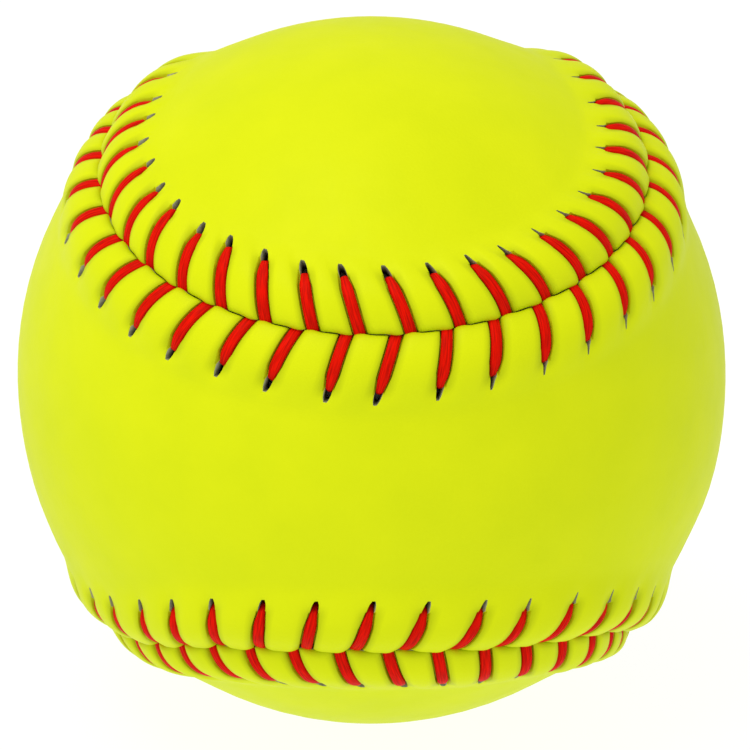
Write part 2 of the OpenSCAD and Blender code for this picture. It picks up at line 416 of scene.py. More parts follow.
@dataclass
class CoverPanel:
    """One figure-eight panel: smooth field, raised rim, a groove and a hole for each
    stitch, the cut edge at the seam and the flesh side under it all. Its grid has a column
    for each line beside a stitch, and a row for each line along the seam."""

    name: str
    row: StitchRow
    rim_w: float = 11.7 * MM
    foot_t: float = 0.16 * MM
    lip_h: float = 1.5 * MM
    lip_t: float = 0.8 * MM
    edge_round: float = 0.6 * MM
    seam_gap: float = 0.12 * MM
    seam_sway: float = 0.4 * MM
    shell_r: float = 46.2 * MM
    bed_r: float = 47.15 * MM
    ledge_h: float = 0.06 * MM
    field_from: float = 16 * MM
    free_from: float = 10.4 * MM
    even_from: float = 10.5 * MM
    tail_h: float = 0.3 * MM
    tail_lift: float = 0.8
    tail_rise_w: float = 5 * MM
    tail_fall_w: float = 7.5 * MM
    foot_soft: float = 0.08 * MM
    edge_share: float = 0.98
    foot_share: float = 0.35
    # Beside a stitch: the lines of its hole and of its groove lie within these
    hole_within: float = 0.7 * MM
    groove_within: float = 1.2 * MM
    # How the leather is drawn down to the thread, and the hole's floor and walls
    dip_end: float = 6.8 * MM
    dip_fade_w: float = 3.4 * MM
    pillow_from: float = 1.0 * MM
    pillow_w: float = 2.1 * MM
    pillow_share: float = 0.17
    thread_gap: float = 0.08 * MM
    floor_end: float = 6.7 * MM
    floor_fade_w: float = 0.6 * MM
    wall_shares: tuple[float, ...] = (1.0, 0.06, 0.0)
    hole_sink: float = 0.12 * MM
    hole_end: float = 8.8 * MM
    least_t: float = 0.35 * MM
    # Where the hand's reach shifts the rows, and the slope of a hole under the leather
    reach_at: float = 7.2 * MM
    reach_w: float = 2.4 * MM
    bevel_from: float = 5.9 * MM
    bevel_w: float = 2.85 * MM
    bevel_share: float = 0.24
    # Narrowing of a hole to its far end, and of the groove to the hole: line in mm, share
    taper_shares: tuple[tuple[float, float], ...] = ((7.4, 1), (7.8, 0.96), (8.3, 0.8), (8.75, 0.42))
    draw_shares: tuple[tuple[float, float], ...] = ((5.2, 1), (6.9, 0.74))
    flesh_share: float = 0.8
    shut_line: float = 7.0
    shut_fade: float = 0.9
    sway_w: float = 1.4 * MM
    sway_lag: float = 0.3
    # Painted shade: the darker tone beside the threads and along the seam
    painted_shade_gap: float = 0.38 * MM
    painted_shade_w: float = 0.45 * MM
    painted_shade_end: float = 6.6 * MM
    painted_shade_fade_w: float = 1.8 * MM
    seam_painted_shade: float = 0.9
    # Where the flesh side leaves the lip, joins the bed, leaves it and joins the shell, in mm
    bed_ends: tuple[float, ...] = (0.06, 1.95, 9.3, 12.2)
    # Lines of the grid in mm: beside a stitch, and from the seam out
    beside_lines: tuple[float, ...] = (0, 0.5, 0.84, 0.94, 1.04, 1.34)
    edge_line: float = 0.06
    rim_lines: tuple[float, ...] = (
        0.06, 0.12, 0.22, 0.38, 0.6, 0.9, 1.3, 1.7, 2.2, 2.7, 3.2, 3.8, 4.3, 4.8, 5.2, 5.55,
    )
    hole_lines: tuple[float, ...] = (5.9, 6.4, 6.9, 7.4, 7.8, 8.3, 8.75)
    foot_lines: tuple[float, ...] = (9.2, 9.8, 10.5, 11.4, 12.8, 14.3)
    bed_lines: tuple[float, ...] = (0.06, 1.0, 1.95, 3.8, 5.3)
    glued_lines: tuple[float, ...] = (10.2, 12.2)
    heart_steps: int = 8
    flesh_steps: int = 4
    between: int = 8
    crease: float = math.radians(48)

    def __post_init__(self) -> None:
        """Lists the columns of one stitch and the rows from the field round to the flesh."""
        half = np.array(self.beside_lines) * MM
        self.offsets = np.concatenate([-half[:0:-1], half])
        self.per_stitch = len(self.offsets) + self.between - 1
        hole = list(self.hole_lines)
        outer = (list(self.rim_lines) + hole + list(self.foot_lines))[::-1]
        under = list(self.bed_lines) + hole + list(self.glued_lines)
        steps, flesh_steps, field_line = self.heart_steps, self.flesh_steps, self.field_from / MM
        # Each row's way from the heart of the panel, and its distance from the seam in mm
        self.shares = [i / steps for i in range(steps)]
        self.shares += [1.0] * (1 + len(outer) + 1 + len(under) + 1)
        self.shares += [1 - i / flesh_steps for i in range(1, flesh_steps + 1)]
        self.distances = [field_line] * (steps + 1) + outer + [self.edge_line] + under
        self.distances += [field_line] * (flesh_steps + 1)
        self.flesh_row = steps + 1 + len(outer) + 1
        at_hole = [i for i, d in enumerate(self.distances) if d in hole]
        self.hole_rows = {
            Sheet.GRAIN: [i for i in at_hole if i < self.flesh_row][::-1],
            Sheet.FLESH: [i for i in at_hole if i > self.flesh_row],
        }

    def smooth_h(self, distance: Array, lift: Array) -> Array:
        """Height of the rim between two stitches over the smooth cover.

        Args:
            distance: Distances from the seam.
            lift: How much higher than usual the rim stands there.

        Returns:
            Heights.
        """
        row = self.row
        crest_h = row.crest_h + lift
        lip_h = self.lip_h * crest_h / row.crest_h
        climb = np.clip((distance - row.crest_at) / (self.rim_w - row.crest_at), 0, 1)
        rise = (crest_h + self.foot_t) / 2 * (1 + np.cos(np.pi * climb)) - self.foot_t
        rise = (rise + np.sqrt(rise**2 + self.foot_soft**2)) / 2 - self.foot_soft / 10
        from_edge = distance - self.seam_gap / 2
        inner = np.clip(from_edge / (row.crest_at - self.seam_gap / 2), 0, 1)
        fall = lip_h + (crest_h - lip_h) * np.sin(np.pi / 2 * inner)
        near_edge = np.clip(1 - from_edge / self.edge_round, 0, 1)
        fall = fall - self.edge_round * (1 - np.sqrt(1 - self.edge_share * near_edge**2))
        # The leather stands a little off the core beyond the rim's foot
        tail = smoothstep((distance - row.crest_at) / self.tail_rise_w)
        tail = tail * smoothstep((self.field_from - distance) / self.tail_fall_w)
        rise = rise + (self.tail_h + self.tail_lift * np.maximum(lift, 0.0)) * tail
        height = np.where(distance > row.crest_at, rise, fall)
        return np.where(distance >= self.field_from - TINY, 0.0, np.maximum(height, 0.0))

    def dip(self, distance: Array, lift: Array) -> Array:
        """How far the thread pulls the leather down beside it.

        Args:
            distance: Distances from the seam.
            lift: How much higher than usual the rim stands there.

        Returns:
            Depths.
        """
        row = self.row
        held = np.minimum(distance, self.dip_end)
        pull = self.smooth_h(held, lift) - row.top_h(held, lift) - self.ledge_h
        fade = 1 - smoothstep((distance - self.dip_end) / self.dip_fade_w)
        return np.clip(pull, 0, None) * fade

    def columns(self) -> tuple[Array, Array, Array]:
        """Numbers the columns of the grid.

        Returns:
            The stitch of each column, the step within it, and its even place.
        """
        count = self.row.seam.stitch_count
        total = count * self.per_stitch
        stitches = np.arange(count)
        lines = self.row.place_beside(stitches, np.zeros(count), np.full(count, self.even_from))
        drift = np.mean(lines - stitches)
        half = len(self.offsets) // 2
        first = int(round(drift * self.per_stitch)) - half
        index = np.arange(total + 1)
        return index // self.per_stitch, index % self.per_stitch, (index + first) / self.per_stitch

    def wrap(self) -> tuple[Array, Array]:
        """Places every point of the grid on the ball.

        Returns:
            Points by row and column, and how much painted shade the leather gets at each.
        """
        row, seam = self.row, self.row.seam
        stitch, step, even = self.columns()
        line = np.array(self.distances)[:, None]
        distance = line * MM * np.ones(len(stitch))
        count = seam.stitch_count
        this, following = stitch % count, (stitch + 1) % count
        in_groove = step < len(self.offsets)
        between_share = np.where(in_groove, 0.0, (step - len(self.offsets) + 1) / self.between)
        # The hand's unevenness shifts the rows about the holes
        reach = mix(row.reaches[this], row.reaches[following], between_share)
        window = np.exp(-(((distance - self.reach_at) / self.reach_w) ** 2))
        distance = distance + reach * window
        # Under the leather a hole slopes towards the seam
        flesh = (np.arange(len(self.distances)) > self.flesh_row)[:, None]
        bevel = np.clip(distance - self.bevel_from, 0, self.bevel_w)
        distance = distance - self.bevel_share * (flesh * (line * MM < self.hole_end) * bevel)
        # Columns keep beside their stitch, closing in at the hole's far end
        base = self.offsets[np.minimum(step, len(self.offsets) - 1)]
        taper = np.interp(line, *zip(*self.taper_shares))
        close_in = np.interp(line, *zip(*self.draw_shares))
        slit = smoothstep((line - self.shut_line) / self.shut_fade)
        taper = taper * np.where(flesh, self.flesh_share, 1.0) * mix(1.0, row.closings[this], slit)
        off = np.abs(base)
        beyond = np.where(off < self.groove_within, close_in, 1.0)
        narrow = np.where(off < self.hole_within, taper, beyond)
        numbers = stitch + np.zeros_like(distance, int)
        low = row.place_beside(numbers, base * narrow, distance)
        edge_a = row.place_beside(numbers, self.offsets[-1], distance)
        edge_b = row.place_beside(numbers + 1, self.offsets[0], distance)
        place = np.where(in_groove, low, mix(edge_a, edge_b, between_share))
        ease = smoothstep((distance - self.free_from) / (self.field_from - self.free_from))
        share = np.array(self.shares)[:, None]
        place = mix(place, even, np.where(share < 1, 1.0, ease))
        # The seam sways with the pull of the stitches on both sides of it
        sway = self.sway(place) * np.exp(-distance / self.sway_w)
        out, _, _ = seam.frame_at(place, row.side, distance + sway)
        # Inside the field, great circles run in to the heart of the panel
        heart = seam.heart(even + 0 * share, row.side)
        angle = np.arccos(np.clip((out * heart).sum(-1), -1, 1))[..., None]
        ratio = share[..., None]
        inner = np.sin((1 - ratio) * angle) * heart + np.sin(ratio * angle) * out
        inner = inner / np.maximum(np.sin(angle), TINY)
        out = unit(np.where(ratio < 1, inner, out))
        to_stitch = np.minimum(between_share, 1 - between_share)
        pillow = np.where(
            in_groove,
            np.clip((off - self.pillow_from) / self.pillow_w, 0, 1),
            self.pillow_share + (1 - self.pillow_share) * 2 * to_stitch,
        )
        lift = mix(row.lifts[this], row.lifts[following], between_share)
        radius = self.radii(distance, pillow, off, in_groove, lift)
        # Painted shade: the coat is drawn darker beside the threads and along the seam, where shade
        # falls
        free_w = seam.pitch - 2 * self.offsets[-1]
        groove_edge = self.offsets[-3]
        from_edge = np.where(in_groove, off - groove_edge, to_stitch * free_w + self.painted_shade_gap)
        beside = np.exp(-((np.maximum(from_edge, 0) / self.painted_shade_w) ** 2))
        beside = beside * (1 - smoothstep((distance - self.painted_shade_end) / self.painted_shade_fade_w))
        mottle_tone_and_painted_shade = np.maximum(beside, self.seam_painted_shade * np.exp(-distance / self.painted_shade_w))
        return out * radius[..., None], mottle_tone_and_painted_shade

    def sway(self, place: Array) -> Array:
        """Works out how the two threads draw the seam from side to side.

        Args:
            place: Places on the seam.

        Returns:
            Shift of the seam into this panel where its own thread goes in, and out of it
            where the other panel's does.
        """
        lag = self.sway_lag * self.row.side.value
        first = np.mean(self.row.places - np.arange(self.row.seam.stitch_count))
        own = np.cos(2 * np.pi * (place - first))
        other = np.cos(2 * np.pi * (place - lag - first))
        return self.seam_sway / 2 * (np.maximum(own, 0) ** 2 - np.maximum(other, 0) ** 2)

    def radii(
        self, distance: Array, pillow: Array, offset: Array, in_groove: Array, lift: Array
    ) -> Array:
        """Distance of each point from the ball's centre, for both sheets.

        Args:
            distance: Distances from the seam.
            pillow: How far each point is on its way from a stitch to the middle between two.
            offset: Distances from the stitch, for the columns in a groove.
            in_groove: Which columns these are.
            lift: How much higher than usual the rim stands.

        Returns:
            Radii by row and column.
        """
        row, ball_r = self.row, self.row.seam.ball_r
        leather = self.smooth_h(distance, lift) - self.dip(distance, lift) * (1 - pillow) ** 3
        floor = row.top_h(distance, lift) - row.thread_t - self.thread_gap
        nominal = np.array(self.distances)[:, None] * MM
        depth = 1 - smoothstep((nominal - self.floor_end) / self.floor_fade_w)
        wall = np.interp(offset, self.offsets[-4:-1], self.wall_shares) * in_groove
        top = mix(leather, np.minimum(floor, leather), wall * depth)
        at_hole = (offset < self.hole_within) & in_groove & (nominal < self.hole_end)
        top = ball_r + top - np.where(at_hole, self.hole_sink, 0.0) * (1 - depth)
        ramp = np.interp(
            distance,
            np.array(self.bed_ends) * MM,
            [ball_r + self.lip_h - self.lip_t, self.bed_r, self.bed_r, self.shell_r],
        )
        under = np.minimum(ramp, top - self.least_t)
        under = np.maximum(under, np.minimum(ramp, self.bed_r))
        rows = np.arange(len(self.distances))[:, None]
        body = np.where(rows >= self.flesh_row, under, top)
        share = np.array(self.shares)[:, None]
        body = np.where((share < 1) & (rows < self.flesh_row), ball_r, body)
        body = np.where((share < 1) & (rows >= self.flesh_row), self.shell_r, body)
        # The row between the rounded edge and the flesh is the foot of the rounding
        edge = rows == self.flesh_row - 1
        return np.where(edge, mix(top, under, self.foot_share), body)

    def build(self) -> bpy.types.Object:
        """Models the panel.

        Returns:
            The finished object.
        """
        points, mottle_tone_and_painted_shade = self.wrap()
        points = self.row.seam.pull(points)
        rows, columns = points.shape[0] - 1, points.shape[1] - 1
        obj, column, row = grid_piece(self.name, columns, rows)
        lookup = np.empty((rows + 1, columns + 1), int)
        lookup[row, column] = np.arange(len(row))
        obj.data.vertices.foreach_set("co", points[row, column].ravel())
        # Painted shade: the mask of darker tone beside the threads and along the seam, for the
        # leather's colour
        painted_shade_tint = obj.data.attributes.new("mottle_tone_and_painted_shade", "FLOAT", "POINT")
        painted_shade_tint.data.foreach_set("value", mottle_tone_and_painted_shade[row, column])
        mesh = bmesh.new()
        mesh.from_mesh(obj.data)
        mesh.verts.ensure_lookup_table()
        self.cut_holes(mesh, lookup)
        mesh.to_mesh(obj.data)
        mesh.free()
        close_mesh(obj, self.crease)
        return obj

    def cut_holes(self, mesh: bmesh.types.BMesh, lookup: Array) -> None:
        """Opens the hole of every stitch through both sheets and walls it in.

        Args:
            mesh: The wrapped grid.
            lookup: Number of the point at each row and column.
        """
        half = len(self.offsets) // 2
        grain, flesh = self.hole_rows[Sheet.GRAIN], self.hole_rows[Sheet.FLESH]
        cell_of = {int(number): cell for cell, number in np.ndenumerate(lookup)}
        doomed = []
        for face in mesh.faces:
            cells = [cell_of[v.index] for v in face.verts]
            low_row, low_col = min(r for r, _ in cells), min(c for _, c in cells)
            face.material_index = 1 if low_row >= self.flesh_row - 1 else 0
            step = low_col % self.per_stitch
            in_hole = any(min(rows) <= low_row < max(rows) for rows in (grain, flesh))
            if in_hole and half - 1 <= step < half + 1:
                doomed.append(face)
        bmesh.ops.delete(mesh, geom=doomed, context="FACES_ONLY")
        mesh.verts.ensure_lookup_table()
        for stitch in range(self.row.seam.stitch_count):
            middle = stitch * self.per_stitch + half
            cells = [(i, -1) for i in range(len(grain))]
            cells += [(len(grain) - 1, 0)]
            cells += [(i, 1) for i in reversed(range(len(grain)))]
            cells += [(0, 0)]
            rings = [
                [mesh.verts[lookup[rows[i], middle + side]] for i, side in cells]
                for rows in (grain, flesh)
            ]
            for i in range(len(cells)):
                j = (i + 1) % len(cells)
                wall = mesh.faces.new((rings[0][i], rings[0][j], rings[1][j], rings[1][i]))
                wall.material_index = 1


@dataclass
class LacingThread:
    """One flat waxed thread: up through a hole, over the rim, down through the seam, and
    under the other panel to its next hole, round the whole ball."""

    name: str
    rows: dict[Side, StitchRow]
    first: Side
    width: float = 1.5 * MM
    thickness: float = 0.75 * MM
    run_r: float = 46.675 * MM
    dive_w: float = 1.9 * MM
    bend_a: float = math.radians(48)
    dive_a: float = math.radians(36)
    # Rings on the way up through a hole: along the stitch and up from the bend's centre in
    # mm, then shares of the hand's reach, the thread's width and its thickness
    climb: tuple[tuple[float, float, float, float, float], ...] = (
        (2.95, 2.44, 0.0, 0.85, 0.9),
        (3.3, 2.95, 1.0, 0.6, 1.0),
        (3.42, 3.7, 1.0, 0.6, 1.0),
    )
    mouth_share: float = 0.66
    open_share: float = 0.22
    run_shares: tuple[float, float] = (0.95, 0.9)
    tail_share: float = 0.45
    twist_a: float = math.radians(7)
    # Powers of the section's outline across its width and its thickness: 1 is an ellipse,
    # and less is squarer
    width_power: float = 0.7
    thick_power: float = 0.85
    arc_steps: int = 12
    section: int = 16
    crease: float = math.radians(60)

    def leg(self, stitch: int, side: Side) -> list[tuple[Array, Array, float, float, float]]:
        """Rings of one stitch.

        Args:
            stitch: The stitch's number.
            side: The panel it lies on.

        Returns:
            For each ring its centre, the direction of the thread's width, the half width,
            the half thickness and the twist.
        """
        row = self.rows[side]
        k = stitch % row.seam.stitch_count
        normal, along, across = row.normals[k], row.alongs[k], row.acrosses[k]
        half_w, half_t = self.width / 2, self.thickness / 2
        reach, centre_r = row.reaches[k], row.centre_r + row.lifts[k]

        def spot(x: float, y: float) -> Array:
            """A point in the stitch's plane, from the centre of its bend."""
            return x * along + (centre_r + y) * normal

        rings = []
        for x, y, reach_share, w_share, t_share in self.climb:
            middle = spot(x * MM + reach_share * reach, y * MM)
            rings.append((middle, across, half_w * w_share, half_t * t_share, 0.0))
        for i in range(self.arc_steps + 1):
            t = i / self.arc_steps
            a = mix(self.dive_a, -self.bend_a, t)
            middle = spot(row.bend_r * math.sin(a) + reach * (1 - t) ** 2, row.bend_r * math.cos(a))
            squeeze = mix(self.mouth_share, 1.0, float(smoothstep(np.array(t / self.open_share))))
            twist = self.twist_a * row.twists[k] * (1 - t) ** 2
            rings.append((middle, across, half_w * squeeze, half_t, twist))
        entry = row.places[k] + self.dive_w * math.tan(row.leans[k]) / row.seam.pitch
        other = Side(-side.value)
        out, _, sewing = row.seam.frame_at(np.array(entry), other, np.array(self.dive_w))
        w_share, t_share = self.run_shares
        rings.append((self.run_r * out, sewing, half_w * w_share, half_t * t_share, 0.0))
        return rings

    def build(self) -> bpy.types.Object:
        """Models the thread.

        Returns:
            The finished object.
        """
        rings = []
        count = self.rows[self.first].seam.stitch_count
        before = self.leg(-1, Side(-self.first.value))[-1]
        for k in range(count):
            side = self.first if k % 2 == 0 else Side(-self.first.value)
            rings += self.leg(k, side)
        tail_end = mix(before[0], rings[0][0], self.tail_share)
        tail = (tail_end, before[1], before[2], before[3], 0.0)
        rings = [tail] + rings
        centre = np.array([r[0] for r in rings])
        across = np.array([r[1] for r in rings])
        steps = np.diff(centre, axis=0)
        arriving, leaving = np.vstack([steps[:1], steps]), np.vstack([steps, steps[-1:]])
        heading = unit(unit(arriving) + unit(leaving))
        across = unit(across - (across * heading).sum(-1, keepdims=True) * heading)
        thick = np.cross(heading, across)
        phi = 2 * np.pi * np.arange(self.section + 1) / self.section
        flat_x = np.sign(np.cos(phi)) * np.abs(np.cos(phi)) ** self.width_power
        flat_y = np.sign(np.sin(phi)) * np.abs(np.sin(phi)) ** self.thick_power
        sizes = np.array([r[2:] for r in rings])[:, :, None, None]
        half_w, half_t, twist = sizes[:, 0], sizes[:, 1], sizes[:, 2]
        x, y = flat_x[None, :, None] * half_w, flat_y[None, :, None] * half_t
        turned_x = x * np.cos(twist) - y * np.sin(twist)
        turned_y = x * np.sin(twist) + y * np.cos(twist)
        points = centre[:, None] + turned_x * across[:, None] + turned_y * thick[:, None]
        points = self.rows[self.first].seam.pull(points)
        obj, column, row = grid_piece(self.name, len(rings) - 1, self.section)
        obj.data.vertices.foreach_set("co", points[column, row].ravel())
        length = np.concatenate([[0.0], np.cumsum(np.linalg.norm(steps, axis=1))])
        girth = 2 * (self.width + self.thickness)
        self.lay_uv(obj, length[column], row / self.section * girth)
        close_mesh(obj, self.crease)
        return obj

    def lay_uv(self, obj: bpy.types.Object, along: Array, around: Array) -> None:
        """Gives the thread a map in metres.

        Args:
            obj: The thread.
            along: Each point's length along the thread.
            around: Each point's length round its section.
        """
        corners = np.empty(len(obj.data.loops), int)
        obj.data.loops.foreach_get("vertex_index", corners)
        layer = obj.data.uv_layers.active
        layer.data.foreach_set("uv", np.stack([along[corners], around[corners]], -1).ravel())


def add_node(
    tree: bpy.types.NodeTree,
    kind: str,
    settings: dict[str | int, object] | None = None,
    links: dict[str | int, bpy.types.NodeSocket] | None = None,
) -> bpy.types.Node:
    """Adds a node with its settings and links.

    Args:
        tree: The material's or world's node tree.
        kind: Blender's name of the node type.
        settings: Values by property name, or by input socket name.
        links: Output sockets by the name or number of the input that they go to.

    Returns:
        The node.
    """
    node = tree.nodes.new(kind)
    for name, value in (settings or {}).items():
        if isinstance(name, str) and hasattr(node, name):
            setattr(node, name, value)
        else:
            node.inputs[name].default_value = value
    for name, socket in (links or {}).items():
        tree.links.new(socket, node.inputs[name])
    return node


def new_material(name: str) -> tuple[bpy.types.Material, bpy.types.NodeTree]:
    """Starts a node material.

    Args:
        name: The material's name.

    Returns:
        The material and its empty node tree.
    """
    material = bpy.data.materials.new(name)
    material.use_nodes = True
    material.node_tree.nodes.clear()
    return material, material.node_tree


@dataclass(frozen=True)
class CoatedLeather:
    """Cowhide with a pigmented polyurethane coat, embossed and buffed. It gives the eye a
    bright optic yellow with a faint grain, a soft broad sheen and a darker green painted shade
    beside the threads and along the seam."""

    name: str = "optic_yellow_coated_leather"
    colour: str = "#dfec0e"
    # The second tone of the mottle, which differs at random
    mottle_tone_and_painted_shade: str = "#d2e30c"
    # The colour of the painted shade, and how strongly it is mixed in
    painted_shade_tint: str = "#8fa006"
    painted_shade_strength: float = 0.5
    grain_w: float = 0.45 * MM
    mottle_w: float = 9 * MM
    crease_w: float = 3.2 * MM
    grain_h: float = 0.05 * MM
    crease_h: float = 0.12 * MM

    def make(self) -> bpy.types.Material:
        """Builds the material.

        Returns:
            The material.
        """
        material, tree = new_material(self.name)
        place = add_node(tree, "ShaderNodeTexCoord").outputs["Object"]
        patches = {"Scale": 1 / self.mottle_w, "Detail": 4.0}
        mottle = add_node(tree, "ShaderNodeTexNoise", patches, {"Vector": place})
        tints = {"data_type": "RGBA", 6: srgb(self.mottle_tone_and_painted_shade), 7: srgb(self.colour)}
        tone = add_node(tree, "ShaderNodeMix", tints, {0: mottle.outputs["Fac"]})
        # Painted shade: a darker green mixed in by the panels' mask beside the threads and along the
        # seam
        painted_shade_mask = add_node(tree, "ShaderNodeAttribute", {"attribute_name": "mottle_tone_and_painted_shade"})
        painted_shade_strength = {"operation": "MULTIPLY", 1: self.painted_shade_strength}
        painted_shade_share = add_node(tree, "ShaderNodeMath", painted_shade_strength, {0: painted_shade_mask.outputs["Fac"]})
        painted_shade_mix = {"data_type": "RGBA", 7: srgb(self.painted_shade_tint)}
        tone = add_node(
            tree, "ShaderNodeMix", painted_shade_mix, {0: painted_shade_share.outputs["Value"], 6: tone.outputs[2]}
        )
        pebbles = {"feature": "SMOOTH_F1", "Scale": 1 / self.grain_w, "Smoothness": 0.6}
        grain = add_node(tree, "ShaderNodeTexVoronoi", pebbles, {"Vector": place})
        folds = {"Scale": 1 / self.crease_w, "Detail": 3.0}
        crease = add_node(tree, "ShaderNodeTexNoise", folds, {"Vector": place})
        grain_bump = {"Strength": 0.25, "Distance": self.grain_h}
        fine = add_node(tree, "ShaderNodeBump", grain_bump, {"Height": grain.outputs["Distance"]})
        crease_bump = {"Strength": 0.5, "Distance": self.crease_h}
        relief = {"Height": crease.outputs["Fac"], "Normal": fine.outputs["Normal"]}
        bump = add_node(tree, "ShaderNodeBump", crease_bump, relief)
        sheen = {"To Min": 0.42, "To Max": 0.56}
        gloss = add_node(tree, "ShaderNodeMapRange", sheen, {"Value": crease.outputs["Fac"]})
        coat = {
            "Base Color": tone.outputs[2],
            "Roughness": gloss.outputs["Result"],
            "Normal": bump.outputs["Normal"],
        }
        shader = add_node(tree, "ShaderNodeBsdfPrincipled", {"Specular IOR Level": 0.06}, coat)
        add_node(tree, "ShaderNodeOutputMaterial", links={"Surface": shader.outputs["BSDF"]})
        return material


@dataclass(frozen=True)
class RawLeather:
    """Split cowhide as cut, without a coat. It gives the eye the grey, matt fibre of the
    cut edge at the seam and in the holes, darkened by painted shade towards their bottom."""

    name: str = "raw_cut_leather"
    light: str = "#ccd2b0"
    dark: str = "#868c6c"
    # The painted shade's colour, and the radii where it is full and where it is gone
    shade: str = "#14120c"
    shade_r: float = 47.5 * MM
    light_r: float = 48.8 * MM
    fibre_w: float = 0.3 * MM
    fibre_h: float = 0.1 * MM

    def make(self) -> bpy.types.Material:
        """Builds the material.

        Returns:
            The material.
        """
        material, tree = new_material(self.name)
        place = add_node(tree, "ShaderNodeTexCoord").outputs["Object"]
        strands = {"Scale": 1 / self.fibre_w, "Detail": 5.0}
        fibre = add_node(tree, "ShaderNodeTexNoise", strands, {"Vector": place})
        tints = {"data_type": "RGBA", 6: srgb(self.dark), 7: srgb(self.light)}
        tone = add_node(tree, "ShaderNodeMix", tints, {0: fibre.outputs["Fac"]})
        # Painted shade: darker the nearer it lies to the ball's centre, towards the bottom of the
        # holes
        height = add_node(tree, "ShaderNodeVectorMath", {"operation": "LENGTH"}, {0: place})
        depths = {"From Min": self.shade_r, "From Max": self.light_r}
        unshaded_share = add_node(tree, "ShaderNodeMapRange", depths, {"Value": height.outputs["Value"]})
        painted_depth_shade = {"data_type": "RGBA", 6: srgb(self.shade)}
        tone = add_node(
            tree, "ShaderNodeMix", painted_depth_shade, {0: unshaded_share.outputs["Result"], 7: tone.outputs[2]}
        )
        fibre_bump = {"Strength": 0.6, "Distance": self.fibre_h}
        bump = add_node(tree, "ShaderNodeBump", fibre_bump, {"Height": fibre.outputs["Fac"]})
        matt = {"Roughness": 0.9, "Specular IOR Level": 0.2}
        surface = {"Base Color": tone.outputs[2], "Normal": bump.outputs["Normal"]}
        shader = add_node(tree, "ShaderNodeBsdfPrincipled", matt, surface)
        add_node(tree, "ShaderNodeOutputMaterial", links={"Surface": shader.outputs["BSDF"]})
        return material


@dataclass(frozen=True)
class WaxedThread:
    """Polyester yarn, rolled flat and waxed. It gives the eye a deep red with fine
    filaments along it and the soft gloss of wax."""

    name: str = "red_waxed_thread"
    colour: str = "#ea1300"
    shade: str = "#b40c00"
    filament_w: float = 0.16 * MM
    filament_h: float = 0.06 * MM
    lengthening: float = 0.06
    wax_w: float = 1.6 * MM

    def make(self) -> bpy.types.Material:
        """Builds the material.

        Returns:
            The material.
        """
        material, tree = new_material(self.name)
        laid = add_node(tree, "ShaderNodeUVMap").outputs["UV"]
        lengthwise = {"Scale": (self.lengthening, 1.0, 1.0)}
        stretch = add_node(tree, "ShaderNodeMapping", lengthwise, {"Vector": laid})
        filaments = {"Scale": 1 / self.filament_w, "Detail": 3.0}
        fibre = add_node(
            tree, "ShaderNodeTexNoise", filaments, {"Vector": stretch.outputs["Vector"]}
        )
        lumps = {"Scale": 1 / self.wax_w, "Detail": 2.0}
        wax = add_node(tree, "ShaderNodeTexNoise", lumps, {"Vector": laid})
        contrast = {"From Min": 0.34, "From Max": 0.62}
        spun = add_node(tree, "ShaderNodeMapRange", contrast, {"Value": fibre.outputs["Fac"]})
        tints = {"data_type": "RGBA", 6: srgb(self.shade), 7: srgb(self.colour)}
        tone = add_node(tree, "ShaderNodeMix", tints, {0: spun.outputs["Result"]})
        filament_bump = {"Strength": 0.7, "Distance": self.filament_h}
        bump = add_node(tree, "ShaderNodeBump", filament_bump, {"Height": fibre.outputs["Fac"]})
        sheen = {"To Min": 0.42, "To Max": 0.62}
        gloss = add_node(tree, "ShaderNodeMapRange", sheen, {"Value": wax.outputs["Fac"]})
        surface = {
            "Base Color": tone.outputs[2],
            "Roughness": gloss.outputs["Result"],
            "Normal": bump.outputs["Normal"],
        }
        shader = add_node(tree, "ShaderNodeBsdfPrincipled", {"Specular IOR Level": 0.04}, surface)
        add_node(tree, "ShaderNodeOutputMaterial", links={"Surface": shader.outputs["BSDF"]})
        return material


@dataclass(frozen=True)
class CastFoam:
    """Polyurethane cast in a mould. It gives the eye a matt grey skin with small pores."""

    name: str = "cast_polyurethane"
    colour: str = "#c9c6bd"
    pore: str = "#aaa69a"
    pore_w: float = 0.8 * MM
    pore_h: float = 0.1 * MM

    def make(self) -> bpy.types.Material:
        """Builds the material.

        Returns:
            The material.
        """
        material, tree = new_material(self.name)
        place = add_node(tree, "ShaderNodeTexCoord").outputs["Object"]
        pores = add_node(tree, "ShaderNodeTexVoronoi", {"Scale": 1 / self.pore_w}, {"Vector": place})
        tints = {"data_type": "RGBA", 6: srgb(self.pore), 7: srgb(self.colour)}
        tone = add_node(tree, "ShaderNodeMix", tints, {0: pores.outputs["Distance"]})
        pore_bump = {"Strength": 0.5, "Distance": self.pore_h}
        bump = add_node(tree, "ShaderNodeBump", pore_bump, {"Height": pores.outputs["Distance"]})
        matt = {"Roughness": 0.75, "Specular IOR Level": 0.3}
        surface = {"Base Color": tone.outputs[2], "Normal": bump.outputs["Normal"]}
        shader = add_node(tree, "ShaderNodeBsdfPrincipled", matt, surface)
        add_node(tree, "ShaderNodeOutputMaterial", links={"Surface": shader.outputs["BSDF"]})
        return material


